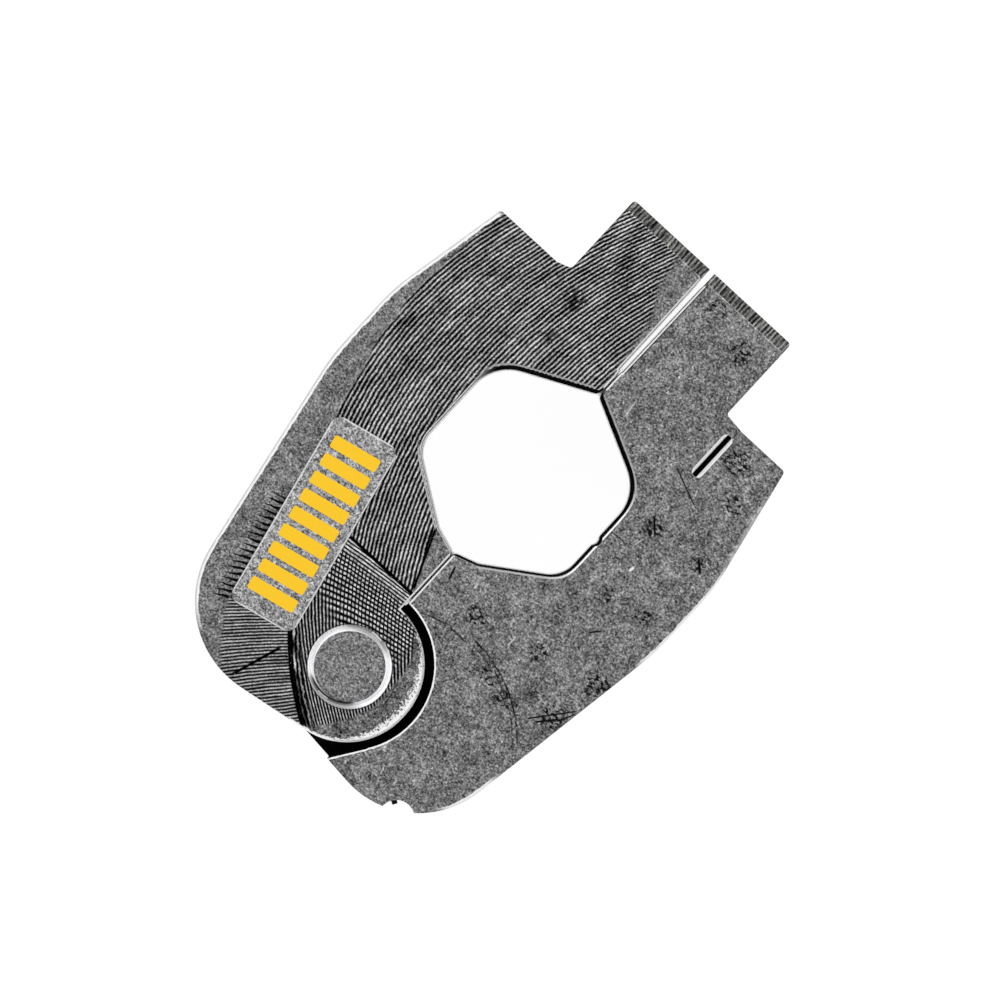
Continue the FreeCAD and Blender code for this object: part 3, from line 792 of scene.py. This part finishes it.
def fork_edges(finish, tone):
    """Lay painted highlights along the rims of contour, seam, lug and outer side on the fork
    half's tone.
    """
    x, y = finish.x, finish.y
    depth = FRONT - finish.z
    slope = sloped(finish)
    seam = finish.rise(abs(x - SEAM), 1.0, 0.9) * seam_lips(finish)
    rim = finish.rise(y, 5.0, 9.0).most(finish.rise(y, -7.0, -9.0)) * contour_rim(finish, -1)
    # Painted highlight on the contour's rim, brighter below the pipe axis than above.
    tone = between(tone, between(0.64, 0.56, finish.rise(y, -5.0, 5.0)), rim)
    # Painted highlight on the chamfers of seam and lug, darker deeper down the lug's chamfer.
    tone = between(tone, painted_edge_highlight(finish, 0.97, 75), slope * seam * finish.rise(depth, 0.04, 0.12))
    lug = finish.rise(abs(x + 0.1), 1.2, 1.1) * finish.rise(y, 20.0, 20.5)
    lug_rim = between(painted_edge_highlight(finish, 0.93, 76), 0.5, finish.rise(depth, 0.24, 0.28))
    tone = between(tone, lug_rim, slope * lug) + lug_edge_highlight(finish)

    # Painted highlight along the bevel of the outer side.
    margin = margin_of(finish, FORK_FLATS, FORK_HEEL, -40.8) + 0.12 * finish.noise(1.5, seed=77)
    wear_and_highlight = finish.rise(margin, 0.66, 0.5) * finish.rise(y, 27.0, 26.0)
    wear_and_highlight = wear_and_highlight * finish.rise(x, -18.0, -24.0)
    return between(tone, between(0.8, 0.95, finish.rise(margin, 0.12, 0.3)), wear_and_highlight)


def fork_front(finish, plain):
    """Tone and height over the fork half's front face."""
    ragged = 0.35 * finish.noise(1.2, 3.0, seed=51)
    swing = finish.distance(ROUND_SWEEP)
    tone, line = milled(finish)
    bare = uncut(finish, ragged)
    tone = between(tone, plain, bare)
    tone = lined_ear(finish, tone, plain, ragged, swing)
    tone = fork_scars(finish, tone, ragged, swing)
    tone = ear_highlights_and_shadow(finish, tone, ragged)
    return fork_edges(finish, tone), line * (1.0 - bare)


def boss_top(finish):
    """Tone of the raised boss, with a painted highlight along its rim."""
    fine = finish.grains(FINE_GRAIN, 8.0)
    middle = finish.noise(0.4, seed=81)
    broad = finish.noise(3.0, seed=83)
    flecks = finish.rise(finish.noise(0.45, 1.0, seed=85), 0.8, 1.3)
    rim = strongest(
        finish.rise(abs(place), half - 0.3, half - 0.1)
        for place, half in zip(boss_places(finish), BOSS_HALF)
    )
    face = 0.53 + 0.2 * fine + 0.2 * middle + 0.05 * broad + 0.2 * flecks
    return between(face, 0.93, rim)


def lug_bevel(finish, seed):
    """Tone of the streaked bevels across the lug ends."""
    streak = finish.noise(0.3, 2.0, (1.0, 14.0, 14.0), seed=seed)
    broad = finish.noise(1.2, 2.0, (1.0, 8.0, 8.0), seed=seed + 3)
    line = waves(finish.x, 0.66, 0.12 * finish.noise(2.0, seed=seed + 5)) - 0.5
    grain = 0.10 * broad + 0.10 * finish.grains(FINE_GRAIN, seed)
    return 0.35 + 0.4 * line + 0.26 * streak + grain


def side_wall(finish, seed):
    """Tone of the ground sides."""
    lines = finish.noise(0.3, 2.0, (24.0, 24.0, 1.0), seed=seed)
    blotch = finish.noise(4.0, 3.0, seed=seed + 5)
    return 0.5 + 0.06 * lines + 0.05 * blotch + 0.03 * finish.grains(0.3, seed)


def dress_half(finish, front, plain, seed):
    """Put walls, bevels and back on a half whose front tone is given."""
    level = abs(finish.up)
    below = 0.45 + 0.06 * finish.noise(0.6, 3.0, seed=seed + 50)
    front = between(below, front, finish.rise(finish.z, 28.0, 29.0))
    tone = between(front, plain, finish.rise(finish.up, -0.4, -0.6))
    wall = finish.rise(level, 0.2, 0.1)
    tone = between(tone, side_wall(finish, seed), wall)
    slope = (1.0 - wall) * finish.rise(level, *SLOPE)
    lug = finish.rise(finish.y, 39.7, 39.8) * slope
    return between(tone, lug_bevel(finish, seed + 13), lug), wall, slope, lug


def finished_half(finish, tone, height, lug, painted_shade):
    """Finish off a half, with warmer bevels across its lug end and painted shade where the shade
    mask is 1.
    """
    colours = shown("colours")
    tint = finish.mixed(colours.steel, colours.warm_steel, lug)
    rough = 0.5 - 0.15 * (tone - 0.45)
    return finish.steel(tone, rough, height, shown("sizes").cut_depth, tint, painted_shade)


def finish_of_fork():
    """Milled steel with its raised boss, painted shade on the seam and upper contour walls and a
    painted highlight on the lower contour walls.
    """
    finish = Finish("milled_steel")
    y = finish.y
    plain = blasted(finish, 0.0)
    front, line = fork_front(finish, plain)
    front = between(front, boss_top(finish), finish.rise(finish.z, FRONT + 0.1, FRONT + 0.2))
    tone, wall, slope, lug = dress_half(finish, front, plain, 3.0)
    contour, bead, seam = openings(finish)
    seam = seam * finish.rise(y, -28.5, -28.0)
    # Painted shade: the seam's walls, the bead groove and the upper contour walls go dull black.
    painted_shade = (wall * seam).most(wall.most(bead) * contour * finish.rise(y, 4.0, 9.0))
    # Painted highlight: the lower contour walls are painted white.
    tone = between(tone, 1.0, wall * contour * finish.rise(y, 9.0, 4.0))
    height = line + 0.4 * finish.noise(SKIN_GRAIN, seed=91)
    return finished_half(finish, tone, height * (1.0 - wall.most(slope)), lug, painted_shade)


def tongue_marks(finish):
    """Masks of dark nicks, pitted patches and bright nicks on the tongue half."""
    x = finish.x
    dark = strongest(finish.scratch(*nick) for nick in DARK_NICKS)
    wobble = 0.1 * finish.noise(1.0, seed=101)
    long_arc = finish.distance(LONG_ARC) + wobble
    arc = finish.band(long_arc, 21.2, 0.26, 0.2).most(0.7 * finish.band(long_arc, 20.5, 0.2, 0.2))
    arc = arc * finish.rise(x, 11.0, 12.5)
    second = finish.band(finish.distance(SECOND_ARC) + wobble, 13.9, 0.26, 0.2)
    arcs = arc.most(0.8 * second * finish.rise(x, 14.0, 12.5))
    broken = finish.rise(finish.noise(1.1, 3.0, seed=107), -0.7, 0.2)
    arcs = arcs * broken * finish.rise(x, 1.0, 2.0) * finish.rise(x, 28.0, 26.0)

    cluster = strongest(finish.blot(*patch) for patch in PITTED)
    cluster = finish.rise(cluster, 0.0, 0.6)
    pits = cluster * finish.rise(finish.noise(0.5, 2.0, (1.5, 1.0, 1.0), seed=109), -0.05, 0.4)
    faint = strongest(finish.scratch(*nick) for nick in FAINT_NICKS)
    bright = finish.scratch(*BRIGHT_NICK).most(0.6 * faint)
    return (0.9 * dark).most(0.85 * arcs), 0.85 * pits, bright


def tongue_edges(finish, tone):
    """Lay painted highlights on the rims of contour, seam, relief and outer side, and painted
    shade along the lug's edge and deep in the seam, on the tongue half's tone.
    """
    x, y = finish.x, finish.y
    # Painted shade: a dark line along the lug's edge.
    lug_edge = finish.traced(y, [(17.0, 0.64), (21.1, 0.64), (21.3, 0.78), (41.8, 0.97)])
    line = finish.band(x - lug_edge, 0.1, 0.12, 0.1)
    line = line * finish.rise(y, 20.5, 22.0) * finish.rise(y, 40.6, 39.8)
    tone = between(tone, 0.06, 0.85 * line)

    # Painted highlight on the contour's rim, brightest on the right flat.
    rim = finish.traced(y, [
        (-20.0, 0.64), (-10.0, 0.68), (-6.0, 0.98), (5.0, 0.98), (9.0, 0.62), (18.0, 0.56),
    ])
    tone = between(tone, rim, contour_rim(finish, 1))
    seam = seam_lips(finish) * finish.rise(y, 39.6, 39.2)
    seam = seam * finish.rise(abs(x - SEAM), 1.3, 1.2)
    depth = FRONT - finish.z
    # Painted highlight on the seam's chamfer, painted shade deeper in the seam.
    lip = between(painted_edge_highlight(finish, 0.97, 113), 0.06, finish.rise(depth, 0.24, 0.28))
    tone = between(tone, lip, sloped(finish) * seam) + lug_edge_highlight(finish)

    # Painted highlight along the relief's edge round the knuckle.
    flank = abs(finish.along(*RELIEF_FLANK)) + 5.0 * finish.rise(y, -47.5, -46.5)
    edge = (finish.distance(HINGE) - RELIEF).least(flank)
    edge = edge + 0.05 * finish.noise(0.8, 1.0, seed=115)
    relief = finish.rise(edge, 0.32, 0.2) * finish.rise(x, 0.4, 1.0)
    tone = between(tone, painted_edge_highlight(finish, 0.93, 117), relief)

    # Painted highlight along the outer side's bevel and heel.
    margin = margin_of(finish, TONGUE_FLATS, TONGUE_HEEL, -40.7)
    margin = margin + 0.1 * finish.noise(1.5, seed=119)
    bulge = finish.rise(margin, 0.42, 0.3)
    bulge = bulge * finish.rise(y, -12.0, -8.0) * finish.rise(y, 12.0, 7.0)
    upper = 0.5 * finish.rise(margin, 0.9, 0.1)
    upper = upper * finish.rise(y, 8.0, 12.0) * finish.rise(y, 25.0, 20.0)
    heel = finish.rise(margin, 0.55, 0.4)
    heel = heel * finish.rise(y, -36.0, -39.0) * finish.rise(y, -48.0, -45.0)
    wear_and_highlight = bulge.most(upper).most(heel) * finish.rise(x, 20.0, 22.0)
    return between(tone, 0.92, wear_and_highlight)


def tongue_front(finish, plain):
    """Tone over the tongue half's front face."""
    dark, pits, bright = tongue_marks(finish)
    tone = between(plain, 0.04, dark.most(pits))
    tone = tongue_edges(finish, between(tone, 0.88, bright))

    # Slot mark drawn in paint: a painted highlight on its flanks, brighter on the left, and
    # painted shade in its core.
    across = abs(finish.x - SLOT_MARK[0])
    beyond = (abs(finish.y - SLOT_MARK[1]) - SLOT_HALF).most(0.0)
    from_slot = (across ** 2 + beyond ** 2) ** 0.5
    core = finish.band(finish.x, SLOT_CORE, 0.8, 0.1) * finish.rise(from_slot, 0.95, 0.85)
    flanks = between(1.0, 0.9, finish.rise(finish.x, 19.2, 19.4))
    return between(tone, between(flanks, 0.05, core), finish.rise(from_slot, 0.98, 0.86))


def finish_of_tongue():
    """Blasted steel, with painted shade on its tongue inside the hinge gap and on the walls of
    relief, contour, seam and bead groove.
    """
    finish = Finish("blasted_steel")
    x, y = finish.x, finish.y
    plain = blasted(finish, 19.0)
    tone, wall, slope, lug = dress_half(finish, tongue_front(finish, plain), plain, 5.0)
    radius = finish.distance(HINGE)
    flank = finish.rise(abs(finish.along(*RELIEF_FLANK)), 0.4, 0.2)
    flank = flank * finish.rise(y, -46.0, -47.0) * finish.rise(x, 12.0, 11.5)
    relief = finish.rise(abs(radius - RELIEF), 0.4, 0.2) * finish.rise(y, -51.8, -51.6)
    relief = relief.most(flank)
    # Painted shade: the tongue inside the hinge gap goes dull black, as do the walls below.
    hidden = finish.rise(abs(finish.z - MIDDLE), 6.6, 6.4) * finish.rise(radius, 16.0, 15.6)
    hidden = hidden * (1.0 - wall).most(finish.rise(radius, KNUCKLE + 0.2, KNUCKLE + 0.1))
    contour, bead, seam = openings(finish)
    painted_shade = hidden.most(wall * relief.most(contour).most(seam)).most(bead)
    height = finish.noise(SKIN_GRAIN, seed=111) * (1.0 - wall.most(slope))
    return finished_half(finish, tone, height, lug, painted_shade)


def finish_of_pin():
    """Fine-ground pin with a painted highlight on its chamfer and a painted shadow along its lower
    edge.
    """
    finish = Finish("pin_steel")
    size = shown("sizes").grain / MM
    fine = finish.grains(size * 0.7, 13.0)
    middle = finish.noise(size * 1.6, seed=121)
    flecks = finish.rise(finish.noise(0.45, seed=123), 0.8, 1.4)
    face = 0.44 + 0.16 * fine + 0.15 * middle + 0.2 * flecks
    top = finish.rise(finish.up, 0.1, 0.3)
    # Painted highlight on the chamfer ring, brightest on its two sides.
    from_ring, to_side = pin_ring(finish)
    ring = finish.rise(from_ring, 5.4, 5.52) * top
    tone = between(face, painted_edge_highlight(finish, between(0.72, 1.0, to_side), 125), ring)
    # Painted shadow along the pin's lower edge.
    low = finish.band(finish.distance(HINGE), 5.85, 0.26, 0.15)
    low = low * finish.rise(finish.along(-80.0, HINGE), 4.2, 5.2)
    tone = between(tone, 0.1, 0.9 * low * top)
    turned = 0.55 + 0.05 * finish.noise(0.3, 2.0, (18.0, 18.0, 1.0), seed=127)
    tone = between(tone, turned, finish.rise(abs(finish.up), 0.2, 0.1))
    depth = shown("sizes").cut_depth / 3
    return finish.steel(tone, 0.42 + 0.05 * middle, middle, depth, shown("colours").steel)


def finish_of_small_parts():
    """Dark bare steel of ball, spring and grub screw."""
    finish = Finish("small_steel")
    broad = finish.noise(1.2, 3.0, seed=131)
    fine = finish.noise(0.25, seed=133)
    tone = 0.3 + 0.06 * broad + 0.04 * fine
    depth = shown("sizes").cut_depth / 4
    return finish.steel(tone, 0.32 + 0.06 * broad, fine, depth, shown("colours").steel)


def finish_of_tip():
    """Dark steel of the brake screw's tip, its darkness a painted shade of the hole in the heel
    notch.
    """
    finish = Finish("shaded_tip_steel")
    broad = finish.noise(0.5, seed=151)
    tone = 0.12 + 0.04 * broad + 0.03 * finish.grains(0.15, 14.0)
    depth = shown("sizes").cut_depth / 4
    return finish.steel(tone, 0.45 + 0.08 * broad, broad, depth, shown("colours").steel)


def finish_of_paint():
    """Yellow enamel with faint wear at its grain."""
    finish = Finish("paint_yellow")
    paint = shown("colours").paint
    red, green, blue = paint
    wear_and_highlight = finish.rise(finish.noise(0.5, 3.0, seed=141), 0.3, 1.3)
    ripple = finish.noise(0.8, seed=143)
    sockets = {
        "Base Color": finish.mixed(paint, (red * 0.9, green * 0.86, blue), wear_and_highlight),
        "Roughness": 0.5 + 0.08 * ripple,
        "Specular IOR Level": 0.25,
        "Normal": finish.bump(ripple, RIPPLE_DEPTH),
    }
    return finish.finished(finish.node("ShaderNodeBsdfPrincipled", {}, sockets))


def cover(name, material):
    """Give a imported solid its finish."""
    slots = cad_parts[name].data.materials
    slots.clear()
    slots.append(material)


def round_off(mesh, edges, offset, segments):
    """Round edges of a bmesh."""
    bmesh.ops.bevel(
        mesh, geom=edges, offset=offset, segments=segments,
        profile=0.5, affect="EDGES", material=-1,
    )


def linked(name, data):
    """Put data in the scene as an object."""
    holder = bpy.data.objects.new(name, data)
    bpy.context.scene.collection.objects.link(holder)
    return holder


def put(name, mesh, material):
    """Make an object of a finished bmesh."""
    data = bpy.data.meshes.new(name)
    mesh.to_mesh(data)
    mesh.free()
    data.materials.append(material)
    return linked(name, data)


class PRESSRING_OT_dress_fork(bpy.types.Operator):
    """Finish the fork half"""

    bl_idname = "press_ring.dress_fork"
    bl_label = "Fork half"

    def execute(self, context):
        cover("fork_half", finish_of_fork())
        return {"FINISHED"}


class PRESSRING_OT_dress_tongue(bpy.types.Operator):
    """Finish the tongue half"""

    bl_idname = "press_ring.dress_tongue"
    bl_label = "Tongue half"

    def execute(self, context):
        cover("tongue_half", finish_of_tongue())
        return {"FINISHED"}


class PRESSRING_OT_dress_pin(bpy.types.Operator):
    """Finish the hinge pin"""

    bl_idname = "press_ring.dress_pin"
    bl_label = "Hinge pin"

    def execute(self, context):
        cover("hinge_pin", finish_of_pin())
        return {"FINISHED"}


class PRESSRING_OT_dress_brake(bpy.types.Operator):
    """Finish the brake's ball, spring and grub screw"""

    bl_idname = "press_ring.dress_brake"
    bl_label = "Hinge brake"

    def execute(self, context):
        material = finish_of_small_parts()
        for name in ("brake_ball", "brake_spring", "brake_screw"):
            cover(name, material)
        return {"FINISHED"}


class PRESSRING_OT_set_brake_tip(bpy.types.Operator):
    """Set the dark tip of the brake screw in the heel notch, its darkness a painted shade"""

    bl_idname = "press_ring.set_brake_tip"
    bl_label = "Brake tip"

    def execute(self, context):
        sizes = shown("sizes")
        width, length = sizes.tip_width, sizes.tip_length
        low, high = (Vector(corner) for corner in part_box("brake_screw"))
        screw = (low + high) / 2
        axis = (screw - Vector((HINGE[0] * MM, HINGE[1] * MM, screw.z))).normalized()
        turn = axis.to_track_quat("Z", "Y").to_matrix().to_4x4()
        middle = screw + axis * (length / 2 + width)
        mesh = bmesh.new()
        bmesh.ops.create_cone(
            mesh, cap_ends=True, segments=32, radius1=width / 2, radius2=width / 2,
            depth=length, matrix=Matrix.Translation(middle) @ turn,
        )
        rims = [e for e in mesh.edges if any(len(f.verts) > 4 for f in e.link_faces)]
        round_off(mesh, rims, width / 6, 3)
        tip = put("brake_tip", mesh, finish_of_tip())
        tip.data.shade_smooth()
        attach(tip, "tongue")
        return {"FINISHED"}


class PRESSRING_OT_paint_bars(bpy.types.Operator):
    """Lay plain painted bars on the boss"""

    bl_idname = "press_ring.paint_bars"
    bl_label = "Paint bars"

    def execute(self, context):
        sizes = shown("sizes")
        height = sizes.bar_height
        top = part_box("fork_half")[1].z
        turn = Matrix.Rotation(math.radians(BOSS_TURN), 4, "Z")
        seat = Matrix.Translation((BOSS_CENTRE[0] * MM, BOSS_CENTRE[1] * MM, top))
        size = Matrix.Diagonal((sizes.bar_length, sizes.bar_width, height, 1.0))
        mesh = bmesh.new()
        for index in range(sizes.bar_count):
            shift = (index - (sizes.bar_count - 1) / 2) * sizes.bar_pitch
            place = seat @ turn @ Matrix.Translation((0.0, shift, height / 2)) @ size
            bmesh.ops.create_cube(mesh, size=1.0, matrix=place)
        upright = [e for e in mesh.edges if abs(e.verts[0].co.z - e.verts[1].co.z) > height / 2]
        round_off(mesh, upright, BAR_CORNER, 4)
        rims = [e for e in mesh.edges if all(v.co.z > top + height * 0.9 for v in e.verts)]
        round_off(mesh, rims, height / 3, 2)
        bars = put("paint_bars", mesh, finish_of_paint())
        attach(bars, "fork")
        return {"FINISHED"}


class PRESSRING_OT_set_stage(bpy.types.Operator):
    """Set up floor, lamps, sky and camera"""

    bl_idname = "press_ring.set_stage"
    bl_label = "Stage"

    def execute(self, context):
        stage = shown("stage")
        self.lay_floor(stage)
        self.hang_sky(context, stage)
        self.hang_lamp("key_lamp", KEY_PLACE, KEY_SIZE, stage.key_power)
        self.hang_lamp("fill_lamp", FILL_PLACE, FILL_SIZE, stage.fill_power)
        self.set_camera(context, stage)
        context.scene.view_settings.view_transform = "Standard"
        return {"FINISHED"}

    def lay_floor(self, stage):
        """Pale paper that keeps the ring's shadow."""
        mesh = bmesh.new()
        bmesh.ops.create_grid(mesh, x_segments=1, y_segments=1, size=stage.floor_size / 2)
        bmesh.ops.translate(mesh, verts=mesh.verts, vec=(0.0, 0.0, -FLOOR_DROP))
        paper = Finish("paper")
        colour = (*shown("colours").floor, 1.0)
        lit = paper.node("ShaderNodeBsdfDiffuse", {}, {"Color": colour})
        glow = {"Color": WHITE, "Strength": PAPER_GLOW}
        white = paper.node("ShaderNodeEmission", {}, glow)
        # Ambient occlusion cuts the floor's white in narrow gaps and at the ring's foot: painted
        # shade on the floor.
        reach = {"Distance": CONTACT_REACH}
        clear = paper.node("ShaderNodeAmbientOcclusion", {"samples": 4}, reach, "AO")
        share = paper.seen() * paper.rise(clear, 0.5, 0.64) * (1.0 - stage.shadow_share)
        both = paper.node("ShaderNodeMixShader", {}, {0: share, 1: lit, 2: white})
        floor = put("floor", mesh, paper.finished(both))

    def hang_sky(self, context, stage):
        """White for the camera and for reflections, softer as a lamp."""
        world = bpy.data.worlds.new("sky")
        board = Board(world)
        light = {"Color": WHITE, "Strength": between(stage.ambient, 1.0, board.seen())}
        sky = board.node("ShaderNodeBackground", {}, light)
        board.node("ShaderNodeOutputWorld", {}, {"Surface": sky})
        context.scene.world = world

    def hang_lamp(self, name, place, size, power):
        """Soft square lamp aimed at the ring."""
        lamp = bpy.data.lights.new(name, "AREA")
        lamp.shape = "SQUARE"
        lamp.size = size
        lamp.energy = power
        holder = linked(name, lamp)
        holder.location = place
        holder.rotation_euler = (-Vector(place)).to_track_quat("-Z", "Y").to_euler()

    def set_camera(self, context, stage):
        """Camera straight above the front face."""
        camera = bpy.data.cameras.new("camera")
        camera.lens = stage.lens
        camera.clip_start = 0.01
        camera.clip_end = 50.0
        holder = linked("camera", camera)
        holder.location = stage.camera_place
        holder.rotation_euler = (0.0, 0.0, stage.camera_turn)
        context.scene.camera = holder


class PRESSRING_PT_panel(bpy.types.Panel):
    """Lists the settings and steps of the press ring"""

    bl_idname = "PRESSRING_PT_panel"
    bl_label = "Press Ring"
    bl_space_type = "VIEW_3D"
    bl_region_type = "UI"
    bl_category = "Press Ring"

    def draw(self, context):
        for name in GROUPS:
            group = shown(name)
            box = self.layout.box()
            box.label(text=name.capitalize())
            for prop in group.bl_rna.properties:
                if prop.identifier not in ("rna_type", "name"):
                    box.prop(group, prop.identifier)
        for step in STEPS:
            self.layout.operator(step.bl_idname)


GROUPS = {"colours": PressRingColours, "sizes": PressRingSizes, "stage": PressRingStage}
STEPS = (
    PRESSRING_OT_set_stage,
    PRESSRING_OT_dress_fork,
    PRESSRING_OT_dress_tongue,
    PRESSRING_OT_dress_pin,
    PRESSRING_OT_dress_brake,
    PRESSRING_OT_set_brake_tip,
    PRESSRING_OT_paint_bars,
)
CLASSES = (*GROUPS.values(), *STEPS, PRESSRING_PT_panel)


def register():
    """Add the classes and their settings."""
    for item in CLASSES:
        bpy.utils.register_class(item)
    for name, group in GROUPS.items():
        setattr(bpy.types.Scene, "press_ring_" + name, PointerProperty(type=group))


def unregister():
    """Take the classes and their settings away."""
    for name in GROUPS:
        delattr(bpy.types.Scene, "press_ring_" + name)
    for item in reversed(CLASSES):
        bpy.utils.unregister_class(item)


def main():
    """Dress the ring and set the stage."""
    register()
    for step in STEPS:
        group, name = step.bl_idname.split(".")
        getattr(getattr(bpy.ops, group), name)()


if __name__ == "__main__":
    main()
